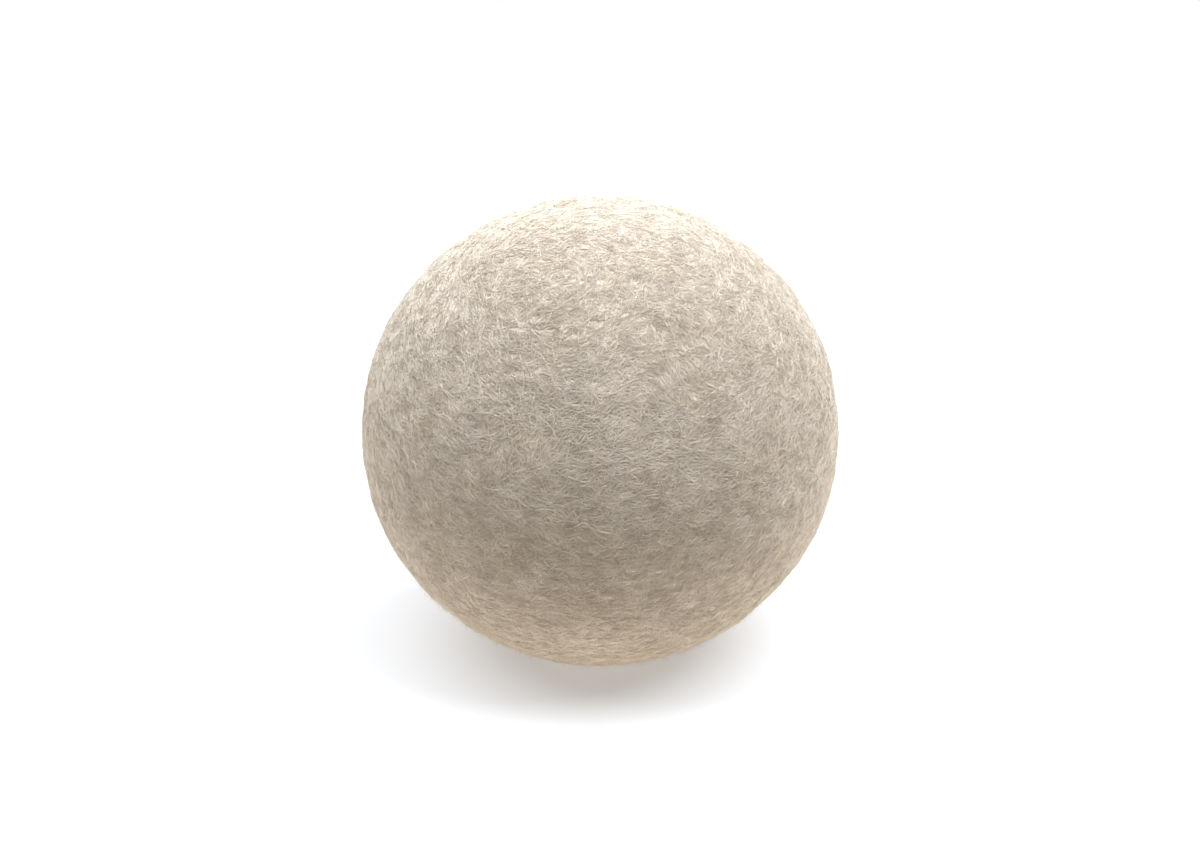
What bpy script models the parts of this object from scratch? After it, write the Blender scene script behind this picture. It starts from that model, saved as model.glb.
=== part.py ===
"""A felted wool dryer ball: a rolled core, crossing wool strips wound on it, and a felted cover.

Metres, +Z up. The origin is the centre of the small flat that the ball rests on.
Every layer is built as a true round about the ball's own centre. The ball_centre empty then lifts
them all to their height and lets them sag a little.
"""

from math import acos, ceil, cos, pi, radians, sin, sqrt

import bmesh
import bpy
from mathutils import Matrix, Vector

# Driving dimensions
BALL_RADIUS = 0.035
SAG = 0.983  # the soft ball's height as a share of its width
REST_FLAT_RADIUS = 0.0062
COVER_THICKNESS = 0.0022
CORE_RADIUS = 0.0125
WRAP_COUNT = 8
LAYER_GAP = 0.0005  # clear space between one layer and the next
FACET_DIP = 0.00028  # how far a flat facet may lie inside the true round surface

# The core is one strip rolled up like a bandage, with its axis along X
CORE_STRIP_THICKNESS = 0.0025
CORE_TURN_GAP = 0.0004
CORE_EYE_RADIUS = 0.0003
CORE_ROLL_SHARE = 0.985  # how far out the roll goes, so that the strip keeps some width at its end
CORE_STATIONS_PER_TURN = 24
CORE_TAPER = radians(70)  # the torn ends of the strip thin down over this much of a turn

# Each wrap goes once round, leaves a small eye at its two poles, and laps its torn ends
WRAP_HALF_WIDTH = radians(76)  # from the strip's middle line to its gathered edge
LAP = radians(36)
TIP_THICKNESS = 0.0005
TIP_CLEARANCE = radians(5)
EDGE_THINNING = 0.55  # thickness of a strip's gathered edge as a share of its middle
EDGE_START = 0.8  # share of the half width where the strip starts to thin
TURN_BETWEEN_WRAPS = radians(110)  # the ball is tipped over by this before the next strip
SPIN_BETWEEN_WRAPS = radians(137.5)

# A felting needle's channel through the cover, at the top
NEEDLE_RADIUS = 0.0004

CENTRE_TO_FLAT = sqrt(BALL_RADIUS**2 - REST_FLAT_RADIUS**2)
COVER_INNER_RADIUS = BALL_RADIUS - COVER_THICKNESS
WRAPPED_DEPTH = COVER_INNER_RADIUS - CORE_RADIUS - LAYER_GAP
WRAP_PITCH = WRAPPED_DEPTH / WRAP_COUNT

SHARP_ANGLE = radians(50)
MERGE_DISTANCE = 0.00001

# Undyed wool, as linear colours: the coarse inner fleece is a little darker than the cover
COVER_COLOUR = (0.78, 0.72, 0.62)
WRAP_COLOUR = (0.70, 0.63, 0.51)
CORE_COLOUR = (0.60, 0.52, 0.40)
WOOL_ROUGHNESS = 0.95
WOOL_SHEEN = 0.3


def clear_scene():
    for found in list(bpy.data.objects):
        bpy.data.objects.remove(found)


def wool(name, colour):
    """A dull, faintly downy wool material."""
    material = bpy.data.materials.new(name)
    material.use_nodes = True
    shader = material.node_tree.nodes["Principled BSDF"]
    shader.inputs["Base Color"].default_value = (*colour, 1)
    shader.inputs["Roughness"].default_value = WOOL_ROUGHNESS
    shader.inputs["Metallic"].default_value = 0
    shader.inputs["Sheen Weight"].default_value = WOOL_SHEEN
    return material


def add_object(name, shape, material, parent):
    """Turns a finished bmesh into a smooth-shaded object under its parent."""
    bmesh.ops.recalc_face_normals(shape, faces=shape.faces)
    mesh = bpy.data.meshes.new(name)
    shape.to_mesh(mesh)
    shape.free()
    mesh.shade_smooth()
    mesh.set_sharp_from_angle(angle=SHARP_ANGLE)
    mesh.materials.append(material)
    made = bpy.data.objects.new(name, mesh)
    made.parent = parent
    bpy.context.scene.collection.objects.link(made)
    return made


def steps_for(angle, radius):
    """How many equal steps an arc needs for its chords to stay within half of FACET_DIP."""
    half_step = acos(1 - FACET_DIP / 2 / radius)
    return ceil(angle / (2 * half_step))


def between(start, end, count):
    """count + 1 evenly spaced values from start to end."""
    return [start + (end - start) * i / count for i in range(count + 1)]


def smooth(share):
    """Eases a share from 0 to 1."""
    share = min(1.0, max(0.0, share))
    return share * share * (3 - 2 * share)


def bridge_sections(shape, sections):
    """Joins equal closed loops of points, one after another, and closes both ends."""
    loops = [[shape.verts.new(point) for point in section] for section in sections]
    size = len(loops[0])
    for here, there in zip(loops, loops[1:]):
        for i in range(size):
            j = (i + 1) % size
            shape.faces.new((here[i], here[j], there[j], there[i]))
    return loops


# The rolled core


def core_section(angle, last_angle):
    """The strip's cross-section at one angle of the roll, cut to the core's round outline."""
    pitch = CORE_STRIP_THICKNESS + CORE_TURN_GAP
    inner = CORE_EYE_RADIUS + pitch * angle / (2 * pi)
    torn = smooth(min(angle, last_angle - angle) / CORE_TAPER)
    outer = inner + TIP_THICKNESS + (CORE_STRIP_THICKNESS - TIP_THICKNESS) * torn
    points = []
    for radius, side in ((inner, -1), (inner, 1), (outer, 1), (outer, -1)):
        half_length = sqrt(CORE_RADIUS**2 - radius**2)
        points.append((side * half_length, radius * cos(angle), radius * sin(angle)))
    return points


def build_core(material, parent):
    pitch = CORE_STRIP_THICKNESS + CORE_TURN_GAP
    rolled = CORE_ROLL_SHARE * CORE_RADIUS - CORE_STRIP_THICKNESS - CORE_EYE_RADIUS
    last_angle = 2 * pi * rolled / pitch
    stations = round(CORE_STATIONS_PER_TURN * last_angle / (2 * pi))
    shape = bmesh.new()
    sections = [core_section(angle, last_angle) for angle in between(0, last_angle, stations)]
    loops = bridge_sections(shape, sections)
    shape.faces.new(reversed(loops[0]))
    shape.faces.new(loops[-1])
    return add_object("rolled_core", shape, material, parent)


# The wound strips


def wrap_stations(low, high):
    """(angle, inner radius, outer radius) along a strip that laps its two torn ends.

    The starting end thins to nothing under the finishing end, which thins to nothing over it,
    so that the lapped strip stays inside its own layer all the way round.
    """
    turn = 2 * pi
    under_start = low + TIP_THICKNESS
    under_end = high - TIP_THICKNESS - LAYER_GAP
    body_steps = steps_for(turn - LAP - 2 * TIP_CLEARANCE, high)
    lap_steps = steps_for(LAP, high)
    stations = []
    for share in between(0, 1, lap_steps):
        stations.append((LAP * share, low, under_start + (under_end - under_start) * share))
    for angle in between(LAP + TIP_CLEARANCE, turn - TIP_CLEARANCE, body_steps):
        stations.append((angle, low, high))
    for share in between(0, 1, lap_steps):
        under = under_start + (under_end - under_start) * share
        stations.append((turn + LAP * share, under + LAYER_GAP, high))
    return stations


def wrap_section(angle, inner, outer, latitudes):
    """A slice across the strip: along its inner side from edge to edge, and back along its outer side."""
    points = []
    for latitude in latitudes:
        points.append((inner, latitude))
    for latitude in reversed(latitudes):
        past_start = abs(latitude) / WRAP_HALF_WIDTH - EDGE_START
        thinned = 1 - (1 - EDGE_THINNING) * smooth(past_start / (1 - EDGE_START))
        points.append((inner + (outer - inner) * thinned, latitude))
    return [
        (r * cos(latitude) * cos(angle), r * cos(latitude) * sin(angle), r * sin(latitude))
        for r, latitude in points
    ]


def fill_end(shape, loop, flip):
    """Closes a strip's end with a row of quads between its inner and outer sides."""
    size = len(loop)
    for i in range(size // 2 - 1):
        corners = (loop[i], loop[i + 1], loop[size - 2 - i], loop[size - 1 - i])
        shape.faces.new(corners[::-1] if flip else corners)


def build_wrap(number, material, parent):
    low = CORE_RADIUS + LAYER_GAP + (number - 1) * WRAP_PITCH
    high = low + WRAP_PITCH - LAYER_GAP
    latitudes = between(-WRAP_HALF_WIDTH, WRAP_HALF_WIDTH, steps_for(2 * WRAP_HALF_WIDTH, high))
    shape = bmesh.new()
    sections = [wrap_section(*station, latitudes) for station in wrap_stations(low, high)]
    loops = bridge_sections(shape, sections)
    fill_end(shape, loops[0], flip=True)
    fill_end(shape, loops[-1], flip=False)
    wrap = add_object(f"wool_wrap_{number}", shape, material, parent)
    wrap.rotation_euler = (TURN_BETWEEN_WRAPS * number, 0, SPIN_BETWEEN_WRAPS * number)
    return wrap


# The cover


def arc(radius, start, end):
    """Points (distance from the axis, height) on a circle, between two angles above the horizontal."""
    count = steps_for(abs(end - start), radius)
    return [(radius * cos(angle), radius * sin(angle)) for angle in between(start, end, count)]


def build_cover(material, parent):
    """One shell turned about Z, from the middle of the flat out, up and over, and back down inside."""
    flat_edge = -acos(REST_FLAT_RADIUS / BALL_RADIUS)
    outer_rim = acos(NEEDLE_RADIUS / BALL_RADIUS)
    inner_rim = acos(NEEDLE_RADIUS / COVER_INNER_RADIUS)
    outside = arc(BALL_RADIUS, flat_edge, outer_rim)
    inside = arc(COVER_INNER_RADIUS, inner_rim, -pi / 2)
    profile = [(0, -CENTRE_TO_FLAT), *outside, *inside[:-1], (0, -COVER_INNER_RADIUS)]
    shape = bmesh.new()
    verts = [shape.verts.new((out, 0, height)) for out, height in profile]
    edges = [shape.edges.new(pair) for pair in zip(verts, verts[1:])]
    bmesh.ops.spin(
        shape,
        geom=verts + edges,
        cent=(0, 0, 0),
        axis=(0, 0, 1),
        angle=2 * pi,
        steps=steps_for(2 * pi, BALL_RADIUS),
        use_merge=True,
    )
    bmesh.ops.remove_doubles(shape, verts=shape.verts, dist=MERGE_DISTANCE)
    return add_object("felt_cover", shape, material, parent)


def main():
    clear_scene()
    centre = bpy.data.objects.new("ball_centre", None)
    centre.location = (0, 0, CENTRE_TO_FLAT * SAG)
    centre.scale = (1, 1, SAG)
    bpy.context.scene.collection.objects.link(centre)
    build_core(wool("core_wool", CORE_COLOUR), centre)
    wrap_wool = wool("wrap_wool", WRAP_COLOUR)
    for number in range(1, WRAP_COUNT + 1):
        build_wrap(number, wrap_wool, centre)
    build_cover(wool("cover_wool", COVER_COLOUR), centre)


main()
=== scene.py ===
from math import cos, pi, radians, sin, sqrt

import bmesh
import bpy
import numpy as np
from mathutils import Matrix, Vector


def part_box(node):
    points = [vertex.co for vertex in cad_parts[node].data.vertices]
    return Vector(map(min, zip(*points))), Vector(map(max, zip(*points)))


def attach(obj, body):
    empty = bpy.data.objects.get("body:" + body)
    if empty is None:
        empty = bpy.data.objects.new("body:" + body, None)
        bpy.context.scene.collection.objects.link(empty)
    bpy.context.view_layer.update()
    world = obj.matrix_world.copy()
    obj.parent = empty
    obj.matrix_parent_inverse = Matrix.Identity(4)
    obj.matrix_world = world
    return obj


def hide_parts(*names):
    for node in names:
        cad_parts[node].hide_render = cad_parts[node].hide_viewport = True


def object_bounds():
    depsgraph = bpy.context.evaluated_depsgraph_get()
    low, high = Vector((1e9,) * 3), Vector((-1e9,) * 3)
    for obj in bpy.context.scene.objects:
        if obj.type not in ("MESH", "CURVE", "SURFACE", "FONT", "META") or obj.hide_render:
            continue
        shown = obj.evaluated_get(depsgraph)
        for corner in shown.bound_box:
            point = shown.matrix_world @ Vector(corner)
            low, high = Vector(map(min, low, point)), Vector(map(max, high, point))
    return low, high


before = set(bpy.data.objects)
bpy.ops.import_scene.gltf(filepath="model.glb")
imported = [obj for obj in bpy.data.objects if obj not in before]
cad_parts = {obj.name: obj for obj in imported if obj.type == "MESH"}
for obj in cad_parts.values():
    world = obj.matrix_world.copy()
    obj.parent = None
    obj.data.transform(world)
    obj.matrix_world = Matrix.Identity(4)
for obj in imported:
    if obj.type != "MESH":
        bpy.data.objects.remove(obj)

# The looks of a felted wool dryer ball. Lengths are in metres.
# The felt is a finely displaced shell with over a hundred thousand wool fibres matted onto it.

MM = 0.001
SEED = 7
LUMP_SEED, STREAK_SEED, INNER_SEED = SEED + 20, SEED + 40, SEED + 60

# Large odd numbers that scramble a lattice cell into a random value
HASH_X, HASH_Y, HASH_Z, HASH_SEED, HASH_MIX = 73856093, 19349663, 83492791, 40503, 1274126177

# The surface
SURFACE_LEVELS = 7  # halvings of each cube edge, before the cube is blown up into a ball
WALL_LEVELS = 4  # the same, for the felt's inner wall
LUMPS = (  # the size and the height of each layer of the ball's gentle lumps
    (16 * MM, 0.20 * MM),
    (6.5 * MM, 0.11 * MM),
    (2.6 * MM, 0.12 * MM),
    (1.3 * MM, 0.07 * MM),
)
STREAK_SIZE = 0.85 * MM
STREAK_HEIGHT = 0.055 * MM
SMEAR_SPAN = (-2, -1, 0, 1, 2)  # the steps along the wool over which a relief is drawn out
SMEAR_STEP = 0.6  # the length of one step, as a share of the relief's size
BASE_DEPTH = 0.10 * MM  # how far the surface lies under the mat of fibres
FLOOR_EASE = 0.5 * MM  # how softly the surface turns into the flat that it rests on
FLOOR_SINK = 0.12  # how far the softened flat is let down, as a share of FLOOR_EASE
FLOOR_GAP = 0.06 * MM  # the least height of the surface and of each fibre's line over the floor
INNER_REACH = 0.96  # the cover's inner points are nearer its centre than this share of its radius

# The wound wool inside
INNER_LEVELS = 2  # halvings of each edge of a wound strip's solid
INNER_SHARP = radians(35)  # a sharper edge than this is creased, so that it isn't rounded away
INNER_CREASE = 0.45
INNER_SIZE = 1.8 * MM
INNER_HEIGHT = 0.06 * MM
WELD_DISTANCE = 0.01 * MM

# The way the fibres lie
SWIRL_SIZE = 11 * MM
SWIRL_SHARE = 0.85
LEVEL_SHARE = 0.75  # how much they keep level round the ball, next to the swirls

# The fibres. Their random lengths, radii and heights are ranges in millimetres,
# and their random turns are spreads in radians.
FIBRE_PIECES = 10
LOCKS_PER_PIECE = 2800
FIBRES_PER_LOCK = 3
LONE_PER_PIECE = 1600
FUZZ_PER_PIECE = 880
FIBRE_SHARES = (0, 0.2, 0.5, 0.8, 1)  # where a fibre's points are along it
FIBRE_SIDES = 3
UNEVENNESS = 0.5  # how far a lock or fibre is moved from an even spread, as a share of their spacing
WANDER = 0.09  # the random turn at each of a fibre's points
RIPPLE = 0.035 * MM  # how much a fibre's height varies along it
BURIED = (-0.22, -0.04)  # the height of an end that dives into the felt

LOCK_LENGTH = (2.4, 5.0)
LOCK_TURN = 0.6
LOCK_BEND = 1.1
LOCK_ALONG, LOCK_ACROSS = 0.7 * MM, 0.14 * MM  # how far a lock's fibres lie apart
LOCK_FIBRE_SHARE = (0.7, 1.15)  # a fibre's length as a share of its lock's
LOCK_FIBRE_TURN = 0.2
LOCK_FIBRE_BEND = 0.3
LOCK_RADIUS = (0.034, 0.056)
LOCK_LIFT = (-0.01, 0.05)

LOOSE_SHARE = 0.3  # how many of the lone fibres have an end that stands off
LOOSE_END = (0.2, 0.8)
LONE_LENGTH = (2.5, 6)
LONE_BEND = 1.5
LONE_RADIUS = (0.022, 0.038)
LONE_LIFT = (0.04, 0.16)

FUZZ_HEIGHT = (0.25, 1.0)
FUZZ_RISE = np.array([0, 0.3, 0.65, 0.9, 1])  # the share of its height that it has at each point
FUZZ_ROOT = 0.05 * MM
FUZZ_LENGTH = (0.3, 1.6)
FUZZ_BEND = 1.2
FUZZ_RADIUS = (0.010, 0.016)

# The stage
FLOOR_RADIUS = 0.2
FLOOR_SIDES = 128
FLOOR_COLOUR = (0.60, 0.575, 0.535)
FLOOR_BOUNCE = (0.67, 0.64, 0.60)  # the warm light that the floor throws back onto the ball
FLOOR_SEEN = (0.35, 0.355, 0.36)  # the light added to the floor as the camera sees it
SOFTBOX_SIZE = 1.2
SOFTBOX_COLOUR = (0.80, 0.875, 1.0)
SOFTBOX_TARGET = Vector((0, 0, 0.03))
SOFTBOXES = (  # the name, the place and the watts of each
    ("softbox_left", Vector((-0.5, 0.0, 0.97)), 18.7),
    ("softbox_right", Vector((0.5, 0.0, 0.97)), 26.6),
)
ROOM_COLOUR = (1.0, 0.94, 0.86)
ROOM_STRENGTH = 0.01
CAMERA_LENS = 118
CAMERA_DISTANCE = 0.58
CAMERA_ELEVATION = radians(23.5)
CAMERA_NEAREST = 0.01

# The ball's measures, from the frame
cad_low, cad_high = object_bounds()
cover_low, cover_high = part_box("felt_cover")
cover_points = [v.co.copy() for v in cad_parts["felt_cover"].data.vertices]
BALL_RADIUS = (cover_high.x - cover_low.x) / 2
MIDDLE_HEIGHT = max(cover_points, key=lambda co: co.x).z
CENTRE = np.array((0, 0, MIDDLE_HEIGHT))
SEMI = np.array((BALL_RADIUS, BALL_RADIUS, cover_high.z - MIDDLE_HEIGHT))
inner_limit = INNER_REACH * BALL_RADIUS
inner_points = [co for co in cover_points if np.linalg.norm(np.array(co) - CENTRE) < inner_limit]
WALL_SHARE = max(co.x for co in inner_points) / BALL_RADIUS  # the felt's inner size over its outer size


def noise(p, seed):
    """Smooth random values from -1 to 1 at each point, one lattice cell to a unit."""
    base = np.floor(p).astype(np.int64)
    f = p - base
    f = f * f * (3 - 2 * f)
    total = np.zeros(p.shape[:-1])
    for corner in np.ndindex(2, 2, 2):
        cell = base + np.array(corner)
        n = cell[..., 0] * HASH_X ^ cell[..., 1] * HASH_Y ^ cell[..., 2] * HASH_Z ^ seed * HASH_SEED
        n = (n ^ (n >> 13)) * HASH_MIX & 0x7FFFFFFF
        value = ((n ^ (n >> 15)) & 0xFFFF) / 0xFFFF * 2 - 1
        weight = np.prod(np.where(np.array(corner) == 1, f, 1 - f), axis=-1)
        total += value * weight
    return total


def unit(v):
    return v / np.maximum(np.linalg.norm(v, axis=-1, keepdims=True), 1e-12)


def flow(n):
    """The way the fibres mostly lie, at each direction n from the ball's centre."""
    at = n * BALL_RADIUS / SWIRL_SIZE
    turn = SWIRL_SHARE * np.stack([noise(at, SEED + k) for k in range(3)], axis=-1)
    turn[..., 2] += LEVEL_SHARE
    return unit(np.cross(turn, n))


def lumps(n):
    """The height of the ball's gentle lumps at each direction."""
    layers = enumerate(LUMPS)
    return sum(height * noise(n * BALL_RADIUS / size, LUMP_SEED + k) for k, (size, height) in layers)


def smeared(p, size, seed):
    """Smooth random values at points p from the ball's centre, drawn out the way the wool lies."""
    way = SMEAR_STEP * size * flow(unit(p))
    return sum(noise((p + k * way) / size, seed) for k in SMEAR_SPAN) / sqrt(len(SMEAR_SPAN))


def streaks(n):
    """The height of the matted streaks at each direction."""
    return STREAK_HEIGHT * smeared(n * BALL_RADIUS, STREAK_SIZE, STREAK_SEED)


def above_floor(z):
    """Eases heights into the floor, so that nothing goes through it."""
    return 0.5 * (z + np.sqrt(z * z + FLOOR_EASE * FLOOR_EASE)) - FLOOR_SINK * FLOOR_EASE


def surface_at(n, extra):
    """Where the felt's surface is at each direction, with extra height above it."""
    height = (lumps(n) + streaks(n) + extra)[..., None]
    p = CENTRE + n * SEMI + n * height
    p[..., 2] = np.maximum(above_floor(p[..., 2]), FLOOR_GAP)
    return p


def mesh_of(name, points, faces):
    """A smooth mesh from an array of points and an array of faces with equally many corners."""
    mesh = bpy.data.meshes.new(name)
    mesh.vertices.add(len(points))
    mesh.vertices.foreach_set("co", points.astype(np.float32).ravel())
    mesh.loops.add(faces.size)
    mesh.loops.foreach_set("vertex_index", faces.astype(np.int32).ravel())
    mesh.polygons.add(len(faces))
    mesh.polygons.foreach_set("loop_start", np.arange(0, faces.size, faces.shape[1], dtype=np.int32))
    mesh.update(calc_edges=True)
    mesh.shade_smooth()
    return mesh


def add_piece(name, mesh, material):
    piece = bpy.data.objects.new(name, mesh)
    mesh.materials.append(material)
    bpy.context.scene.collection.objects.link(piece)
    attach(piece, "root")
    return piece


# Materials

BASE_DARK, BASE_LIGHT = (0.64, 0.545, 0.42), (0.72, 0.63, 0.505)
FIBRE_DARK, FIBRE_LIGHT = (0.725, 0.61, 0.475), (0.84, 0.735, 0.59)
WRAP_DARK, WRAP_LIGHT = (0.50, 0.42, 0.31), (0.72, 0.63, 0.495)
CORE_DARK, CORE_LIGHT = (0.42, 0.34, 0.24), (0.62, 0.525, 0.39)
FELT_SHEEN = 0.12
FIBRE_SHEEN = 0.08
FIBRE_ROUGHNESS = 0.75
SHEEN_TINT = (0.97, 0.98, 1.0)
STREAK_TURNS = ((0.2, 0.3, 0.1), (1.1, -0.4, 1.3), (-0.5, 0.9, 2.3))

# Wool's uneven colour, and painted shade: each patch's size, detail and distortion, the noise values that
# it starts and is full at, its strength, and the tint that the wool is multiplied by. The darker patch is
# painted shade, in place of the shading of larger lumps.
TINT_AND_SHADE_PATCHES = (
    (9 * MM, 2, 0.0, (0.50, 0.72), 0.4, (1.0, 0.985, 0.90)),  # yellower
    (6 * MM, 3, 0.4, (0.52, 0.75), 0.4, (1.0, 0.965, 0.945)),  # pinker
    (5 * MM, 2, 0.0, (0.40, 0.62), 1.0, (0.935, 0.925, 0.91)),  # darker: painted shade, in place of the shading of larger lumps
)
# Painted shade: a greyer mottle drawn out level round the ball. It is partly the wool's own tone along its
# level lie, and partly the small shadows that light from above casts in the felt's relief.
SHADE_MOTTLE_TURN = (0, pi / 2, 0)
SHADE_MOTTLE_SIZE = (1.1 * MM, 2.4 * MM)  # its height and its width
SHADE_MOTTLE_RANGE = (0.35, 0.6)
SHADE_MOTTLE_TINT = (0.86, 0.84, 0.815)


def new_material(name):
    material = bpy.data.materials.new(name)
    material.use_nodes = True
    return material, material.node_tree, material.node_tree.nodes["Principled BSDF"]


def noise_node(tree, coords, size, detail, roughness=0.55, distortion=0.0):
    node = tree.nodes.new("ShaderNodeTexNoise")
    node.inputs["Scale"].default_value = 1 / size
    node.inputs["Detail"].default_value = detail
    node.inputs["Roughness"].default_value = roughness
    node.inputs["Distortion"].default_value = distortion
    tree.links.new(coords, node.inputs["Vector"])
    return node.outputs["Fac"]


def mapped(tree, value, low, high, to_low, to_high):
    node = tree.nodes.new("ShaderNodeMapRange")
    for socket, number in zip(("From Min", "From Max", "To Min", "To Max"), (low, high, to_low, to_high)):
        node.inputs[socket].default_value = number
    tree.links.new(value, node.inputs["Value"])
    return node.outputs["Result"]


def mixed(tree, factor, a, b, how="MIX"):
    """A colour between a and b, each of which is a colour or a socket."""
    node = tree.nodes.new("ShaderNodeMix")
    node.data_type = "RGBA"
    node.blend_type = how
    tree.links.new(factor, node.inputs[0])
    for socket, colour in ((node.inputs[6], a), (node.inputs[7], b)):
        if isinstance(colour, tuple):
            socket.default_value = (*colour, 1)
        else:
            tree.links.new(colour, socket)
    return node.outputs[2]


def streak_node(tree, coords, turn, length, width):
    """Noise drawn out along one way, as combed fibres are."""
    node = tree.nodes.new("ShaderNodeMapping")
    node.vector_type = "TEXTURE"
    node.inputs["Rotation"].default_value = turn
    node.inputs["Scale"].default_value = (length, width, width)
    tree.links.new(coords, node.inputs["Vector"])
    return noise_node(tree, node.outputs["Vector"], 1.0, 2, roughness=0.5, distortion=0.6)


def crossed_streaks(tree, coords, length, width):
    """Streaks that run three ways, as in matted wool: the highest of the three at each point."""
    layers = [streak_node(tree, coords, turn, length, width) for turn in STREAK_TURNS]
    top = layers[0]
    for layer in layers[1:]:
        node = tree.nodes.new("ShaderNodeMath")
        node.operation = "MAXIMUM"
        tree.links.new(top, node.inputs[0])
        tree.links.new(layer, node.inputs[1])
        top = node.outputs[0]
    return top


def wool_finish(shader, sheen):
    shader.inputs["Specular IOR Level"].default_value = 0.3
    shader.inputs["Sheen Weight"].default_value = sheen
    shader.inputs["Sheen Roughness"].default_value = 0.5
    shader.inputs["Sheen Tint"].default_value = (*SHEEN_TINT, 1)


def wool_tint_and_shade(tree, coords, colour):
    """The colour with wool's own broad patches, and with painted shade: a darker patch and a drawn-out
    mottling that is partly painted shade.
    """
    for size, detail, distortion, span, strength, tint in TINT_AND_SHADE_PATCHES:
        patch = noise_node(tree, coords, size, detail, distortion=distortion)
        colour = mixed(tree, mapped(tree, patch, *span, 0.0, strength), colour, tint, "MULTIPLY")
    # Painted shade: the level mottle darkens the colour in drawn-out spots, partly wool tone and partly
    # the relief's small shadows.
    shade_mottle = mapped(tree, streak_node(tree, coords, SHADE_MOTTLE_TURN, *SHADE_MOTTLE_SIZE), *SHADE_MOTTLE_RANGE, 1.0, 0.0)
    return mixed(tree, shade_mottle, colour, SHADE_MOTTLE_TINT, "MULTIPLY")


def bumped(tree, shader, height, strength, distance):
    node = tree.nodes.new("ShaderNodeBump")
    node.inputs["Strength"].default_value = strength
    node.inputs["Distance"].default_value = distance
    tree.links.new(height, node.inputs["Height"])
    tree.links.new(node.outputs["Normal"], shader.inputs["Normal"])


def streaky_wool(name, dark, light, streak, contrast, smoothest, bump):
    """Wool with crossed streaks in its colour, its roughness and its relief.

    streak: their length and width. contrast: the noise values at dark and at light.
    smoothest: the roughness of the highest streaks. bump: the relief's strength and depth.
    """
    material, tree, shader = new_material(name)
    coords = tree.nodes.new("ShaderNodeTexCoord").outputs["Object"]
    streaked = crossed_streaks(tree, coords, *streak)
    colour = mixed(tree, mapped(tree, streaked, *contrast, 0.0, 1.0), dark, light)
    tree.links.new(wool_tint_and_shade(tree, coords, colour), shader.inputs["Base Color"])
    wool_finish(shader, FELT_SHEEN)
    tree.links.new(mapped(tree, streaked, 0.4, 0.75, 1.0, smoothest), shader.inputs["Roughness"])
    bumped(tree, shader, streaked, *bump)
    return material


def felt_material():
    return streaky_wool(
        "felted_wool",
        BASE_DARK,
        BASE_LIGHT,
        streak=(2.4 * MM, 0.16 * MM),
        contrast=(0.42, 0.72),
        smoothest=0.82,
        bump=(0.6, 0.08 * MM),
    )


def carded_material(name, dark, light):
    """Loose wool in combed layers, which is the inside of the ball."""
    return streaky_wool(
        name,
        dark,
        light,
        streak=(5.0 * MM, 0.28 * MM),
        contrast=(0.42, 0.7),
        smoothest=0.86,
        bump=(0.9, 0.25 * MM),
    )


def fibre_material():
    material, tree, shader = new_material("wool_fibre")
    coords = tree.nodes.new("ShaderNodeTexCoord").outputs["Object"]
    each = tree.nodes.new("ShaderNodeNewGeometry").outputs["Random Per Island"]
    colour = mixed(tree, each, FIBRE_DARK, FIBRE_LIGHT)
    tree.links.new(wool_tint_and_shade(tree, coords, colour), shader.inputs["Base Color"])
    wool_finish(shader, FIBRE_SHEEN)
    shader.inputs["Roughness"].default_value = FIBRE_ROUGHNESS
    return material


# The felt's surface


def split_mesh(obj, levels, kind):
    """A new mesh from the object, with each edge halved levels times. The object is removed."""
    split = obj.modifiers.new("split", "SUBSURF")
    split.subdivision_type = kind
    split.levels = levels
    split.render_levels = levels
    mesh = bpy.data.meshes.new_from_object(obj.evaluated_get(bpy.context.evaluated_depsgraph_get()))
    bpy.data.objects.remove(obj)
    return mesh


def ball_directions(levels):
    """Unit directions and square faces of a cube that is blown up into a ball."""
    bpy.ops.mesh.primitive_cube_add(size=2)
    mesh = split_mesh(bpy.context.object, levels, "SIMPLE")
    co = np.empty(len(mesh.vertices) * 3, np.float32)
    mesh.vertices.foreach_get("co", co)
    corners = np.empty(len(mesh.loops), np.int32)
    mesh.loops.foreach_get("vertex_index", corners)
    bpy.data.meshes.remove(mesh)
    evened = np.tan(co.reshape(-1, 3).astype(float) * pi / 4)  # equal angles rather than equal lengths
    return unit(evened), corners.reshape(-1, 4)


def build_surface():
    """The felt as a closed shell: its outside, and the smooth wall round the wound wool."""
    n, outside = ball_directions(SURFACE_LEVELS)
    wall_n, wall = ball_directions(WALL_LEVELS)
    points = np.concatenate([surface_at(n, -BASE_DEPTH), CENTRE + WALL_SHARE * SEMI * wall_n])
    faces = np.concatenate([outside, wall[:, ::-1] + len(n)])
    mesh = mesh_of("felt_surface", points, faces)
    surface = add_piece("felt_surface", mesh, felt_material())
    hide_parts("felt_cover")


# The wound wool inside, under the felt


def soft_solid(name):
    """The piece's solid as one welded mesh, with its sharp edges marked to stay fairly crisp."""
    shape = bmesh.new()
    shape.from_mesh(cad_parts[name].data)
    bmesh.ops.remove_doubles(shape, verts=shape.verts, dist=WELD_DISTANCE)
    crease = shape.edges.layers.float.new("crease_edge")
    for edge in shape.edges:
        if edge.calc_face_angle(0) > INNER_SHARP:
            edge[crease] = INNER_CREASE
    mesh = bpy.data.meshes.new(f"soft_{name}")
    shape.to_mesh(mesh)
    shape.free()
    return mesh


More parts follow.
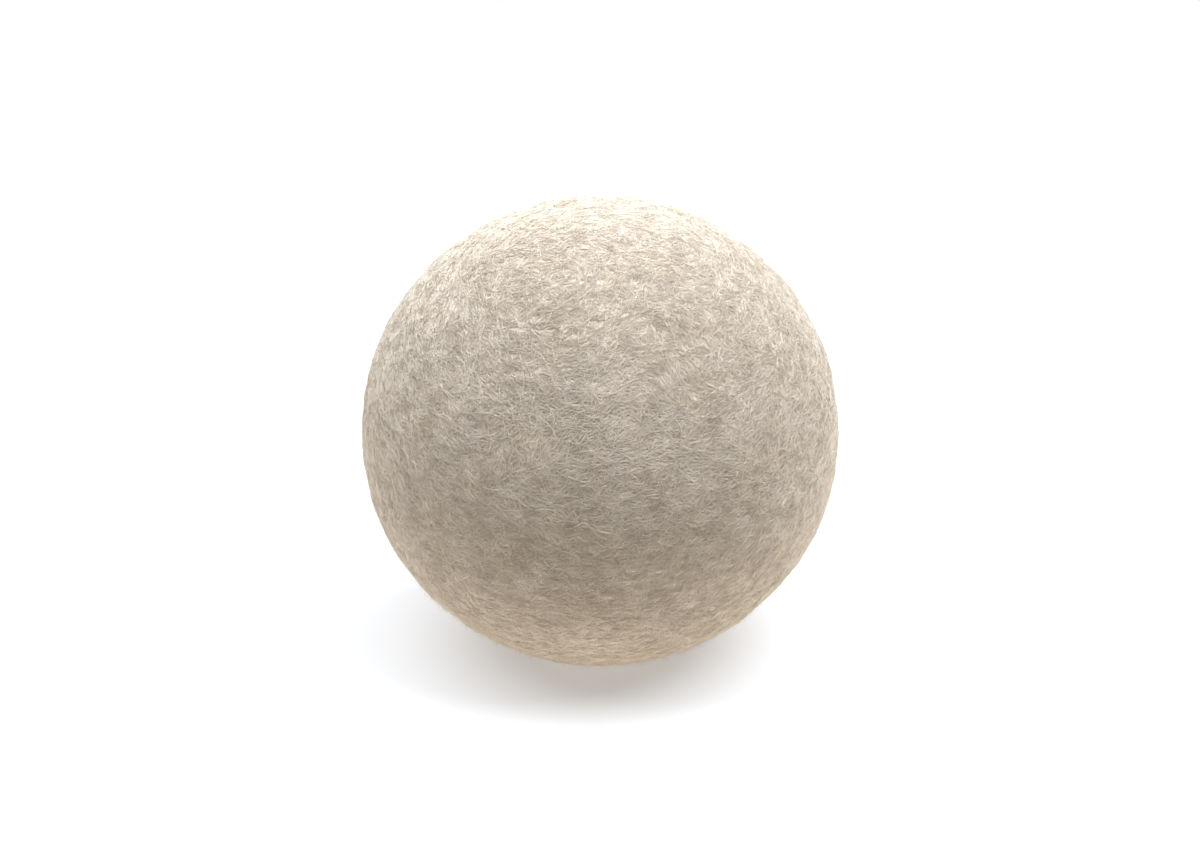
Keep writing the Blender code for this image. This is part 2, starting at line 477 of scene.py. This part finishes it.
def build_inner(name, material):
    """A copy of the piece's solid, rounded, split finely and combed into a streaky relief."""
    rough = bpy.data.objects.new(f"carded_{name}", soft_solid(name))
    bpy.context.scene.collection.objects.link(rough)
    mesh = split_mesh(rough, INNER_LEVELS, "CATMULL_CLARK")
    co, normal = np.empty((2, len(mesh.vertices) * 3), np.float32)
    mesh.vertices.foreach_get("co", co)
    mesh.vertices.foreach_get("normal", normal)
    p = co.reshape(-1, 3).astype(float)
    height = INNER_HEIGHT * smeared(p - CENTRE, INNER_SIZE, INNER_SEED)
    p += normal.reshape(-1, 3) * height[:, None]
    mesh.vertices.foreach_set("co", p.astype(np.float32).ravel())
    mesh.materials.clear()
    mesh.shade_smooth()
    mesh.update()
    piece = add_piece(f"carded_{name}", mesh, material)
    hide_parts(name)


def build_inside():
    wrap = carded_material("carded_wrap_wool", WRAP_DARK, WRAP_LIGHT)
    core = carded_material("carded_core_wool", CORE_DARK, CORE_LIGHT)
    for name in sorted(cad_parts):
        if name == "rolled_core":
            build_inner(name, core)
        elif name.startswith("wool_wrap_"):
            build_inner(name, wrap)


# The fibres


def even_directions(rng, count):
    """Directions spread evenly over the ball, each moved a little at random."""
    k = np.arange(count) + 0.5
    z = 1 - 2 * k / count
    around = pi * (1 + sqrt(5)) * k
    flat = np.sqrt(1 - z * z)
    n = np.stack([flat * np.cos(around), flat * np.sin(around), z], axis=-1)
    return unit(n + UNEVENNESS * sqrt(4 * pi / count) * rng.normal(size=n.shape))


def turned(t, n, angle):
    """Tangents t turned about n by an angle each."""
    c, s = np.cos(angle)[..., None], np.sin(angle)[..., None]
    return t * c + np.cross(n, t) * s


def stepped(n, t, length):
    """One step over the ball from n along the tangent t."""
    there = unit(n + t * (length / BALL_RADIUS)[..., None])
    t = t - there * np.sum(t * there, axis=-1, keepdims=True)
    return there, unit(t)


def laid_fibres(rng, n, heading, length, bend, radius, heights):
    """Points and triangles of thin closed tubes that lie over the ball.

    n, heading: where each fibre's middle is and which way it goes. bend: its turn over its whole
    length. heights: how far each of its points is over the felt, below 0 where it dives in.
    """
    count = len(n)
    n, heading = stepped(n, -heading, length / 2)
    heading = turned(-heading, n, -bend / 2)
    ways = [n]
    for share in np.diff(FIBRE_SHARES):
        n, heading = stepped(n, heading, length * share)
        heading = turned(heading, n, bend * share + WANDER * rng.normal(size=count))
        ways.append(n)
    ways = np.stack(ways, axis=1)
    path = surface_at(ways, heights)
    along = unit(np.gradient(path, axis=1))
    side = unit(np.cross(along, ways))
    up = np.cross(side, along)
    rings = []
    for k in range(FIBRE_SIDES):
        angle = pi / 2 + 2 * pi * k / FIBRE_SIDES
        rings.append(path + radius[:, None, None] * (cos(angle) * side + sin(angle) * up))
    rings = np.stack(rings, axis=2)[:, 1:-1]
    points = np.concatenate([path[:, :1], rings.reshape(count, -1, 3), path[:, -1:]], axis=1)
    faces = tube_faces(points.shape[1])[None] + points.shape[1] * np.arange(count)[:, None, None]
    return points.reshape(-1, 3), faces.reshape(-1, 3)


def tube_faces(per):
    """The triangles of one tube of so many points: a tip, its rings and the other tip."""
    top = per - 1 - FIBRE_SIDES
    faces = []
    for k in range(FIBRE_SIDES):
        after = (k + 1) % FIBRE_SIDES
        faces += [(0, 1 + after, 1 + k), (per - 1, top + k, top + after)]
        for row in range(1, top, FIBRE_SIDES):
            a, b = row + k, row + after
            faces += [(a, b, b + FIBRE_SIDES), (a, b + FIBRE_SIDES, a + FIBRE_SIDES)]
    return np.array(faces)


def heights_of(rng, lift, ends):
    """Heights along each fibre: its two ends, with the given lift between them."""
    middle = lift[:, None] + RIPPLE * rng.normal(size=(len(lift), len(FIBRE_SHARES) - 2))
    return np.concatenate([ends[:, :1], middle, ends[:, 1:]], axis=1)


def buried(rng, count):
    return rng.uniform(*BURIED, (count, 2)) * MM


def any_way(rng, n):
    """A random tangent at each direction."""
    return turned(flow(n), n, rng.uniform(-pi, pi, len(n)))


def lock_fibres(rng, lock):
    """Fibres in small locks that lie the same way, which show as streaks."""
    count = len(lock)
    heading = turned(flow(lock), lock, LOCK_TURN * rng.normal(size=count))
    bend = LOCK_BEND * rng.normal(size=count)
    length = rng.uniform(*LOCK_LENGTH, count) * MM

    def each(v):
        return np.repeat(v, FIBRES_PER_LOCK, axis=0)

    total = count * FIBRES_PER_LOCK
    n, t = each(lock), each(heading)
    n, t = stepped(n, t, LOCK_ALONG * rng.normal(size=total))
    n, _ = stepped(n, np.cross(n, t), LOCK_ACROSS * rng.normal(size=total))
    t = unit(t - n * np.sum(t * n, axis=-1, keepdims=True))
    t = turned(t, n, LOCK_FIBRE_TURN * rng.normal(size=total))
    lift = rng.uniform(*LOCK_LIFT, total) * MM
    return laid_fibres(
        rng,
        n,
        t,
        each(length) * rng.uniform(*LOCK_FIBRE_SHARE, total),
        each(bend) + LOCK_FIBRE_BEND * rng.normal(size=total),
        rng.uniform(*LOCK_RADIUS, total) * MM,
        heights_of(rng, lift, buried(rng, total)),
    )


def lone_fibres(rng, n):
    """Single fibres that lie any way, some with an end that stands off the ball."""
    count = len(n)
    loose = rng.random(count) < LOOSE_SHARE
    ends = buried(rng, count)
    ends[:, 1] = np.where(loose, rng.uniform(*LOOSE_END, count) * MM, ends[:, 1])
    return laid_fibres(
        rng,
        n,
        any_way(rng, n),
        rng.uniform(*LONE_LENGTH, count) * MM,
        LONE_BEND * rng.normal(size=count),
        rng.uniform(*LONE_RADIUS, count) * MM,
        heights_of(rng, rng.uniform(*LONE_LIFT, count) * MM, ends),
    )


def fuzz_fibres(rng, n):
    """Short fine fibres that stand up from the felt, for its soft edge."""
    count = len(n)
    tall = rng.uniform(*FUZZ_HEIGHT, count) * MM
    return laid_fibres(
        rng,
        n,
        any_way(rng, n),
        rng.uniform(*FUZZ_LENGTH, count) * MM,
        FUZZ_BEND * rng.normal(size=count),
        rng.uniform(*FUZZ_RADIUS, count) * MM,
        tall[:, None] * FUZZ_RISE - FUZZ_ROOT,
    )


def build_fibres():
    """Each piece holds its share of every kind, spread over the whole ball."""
    material = fibre_material()
    rng = np.random.default_rng(SEED)
    kinds = ((lock_fibres, LOCKS_PER_PIECE), (lone_fibres, LONE_PER_PIECE), (fuzz_fibres, FUZZ_PER_PIECE))
    places = [even_directions(rng, FIBRE_PIECES * count) for _, count in kinds]
    for k in range(FIBRE_PIECES):
        points, faces, made = [], [], 0
        for (kind, _), n in zip(kinds, places):
            some, their_faces = kind(rng, n[k::FIBRE_PIECES])
            points.append(some)
            faces.append(their_faces + made)
            made += len(some)
        mesh = mesh_of(f"wool_fibres_{k + 1}", np.concatenate(points), np.concatenate(faces))
        add_piece(f"wool_fibres_{k + 1}", mesh, material)


# The stage


def build_floor():
    bpy.ops.mesh.primitive_circle_add(vertices=FLOOR_SIDES, radius=FLOOR_RADIUS, fill_type="NGON")
    floor = bpy.context.object
    floor.name = "floor"
    material, tree, shader = new_material("pale_floor")
    shader.inputs["Base Color"].default_value = (*FLOOR_COLOUR, 1)
    shader.inputs["Roughness"].default_value = 0.6
    shader.inputs["Specular IOR Level"].default_value = 0.2
    seen = tree.nodes.new("ShaderNodeLightPath").outputs["Is Camera Ray"]
    tree.links.new(mixed(tree, seen, FLOOR_BOUNCE, FLOOR_SEEN), shader.inputs["Emission Color"])
    shader.inputs["Emission Strength"].default_value = 1.0
    floor.data.materials.append(material)


def turned_to(target, place):
    """The rotation of a light or camera at a place that looks at a target."""
    return (target - place).to_track_quat("-Z", "Y").to_euler()


def build_softboxes():
    for name, place, watts in SOFTBOXES:
        lamp = bpy.data.lights.new(name, "AREA")
        lamp.shape = "DISK"
        lamp.size = SOFTBOX_SIZE
        lamp.energy = watts
        lamp.color = SOFTBOX_COLOUR
        light = bpy.data.objects.new(name, lamp)
        light.location = place
        light.rotation_euler = turned_to(SOFTBOX_TARGET, place)
        bpy.context.scene.collection.objects.link(light)


def build_room():
    """A faint warm light from all round, and plain white wherever the camera sees past the floor."""
    world = bpy.data.worlds.new("studio")
    world.use_nodes = True
    tree = world.node_tree
    light = tree.nodes["Background"]
    light.inputs["Color"].default_value = (*ROOM_COLOUR, 1)
    light.inputs["Strength"].default_value = ROOM_STRENGTH
    seen = tree.nodes.new("ShaderNodeBackground")
    seen.inputs["Color"].default_value = (1, 1, 1, 1)
    seen.inputs["Strength"].default_value = 1.0
    both = tree.nodes.new("ShaderNodeMixShader")
    tree.links.new(tree.nodes.new("ShaderNodeLightPath").outputs["Is Camera Ray"], both.inputs[0])
    tree.links.new(light.outputs[0], both.inputs[1])
    tree.links.new(seen.outputs[0], both.inputs[2])
    tree.links.new(both.outputs[0], tree.nodes["World Output"].inputs["Surface"])
    bpy.context.scene.world = world


def build_camera():
    camera = bpy.data.objects.new("camera", bpy.data.cameras.new("camera"))
    camera.data.lens = CAMERA_LENS
    camera.data.clip_start = CAMERA_NEAREST
    centre = (cad_low + cad_high) / 2
    camera.location = centre + CAMERA_DISTANCE * Vector((0, -cos(CAMERA_ELEVATION), sin(CAMERA_ELEVATION)))
    camera.rotation_euler = turned_to(centre, camera.location)
    bpy.context.scene.collection.objects.link(camera)
    bpy.context.scene.camera = camera


build_surface()
build_fibres()
build_inside()
build_floor()
build_softboxes()
build_room()
build_camera()
bpy.context.scene.view_settings.view_transform = "Standard"
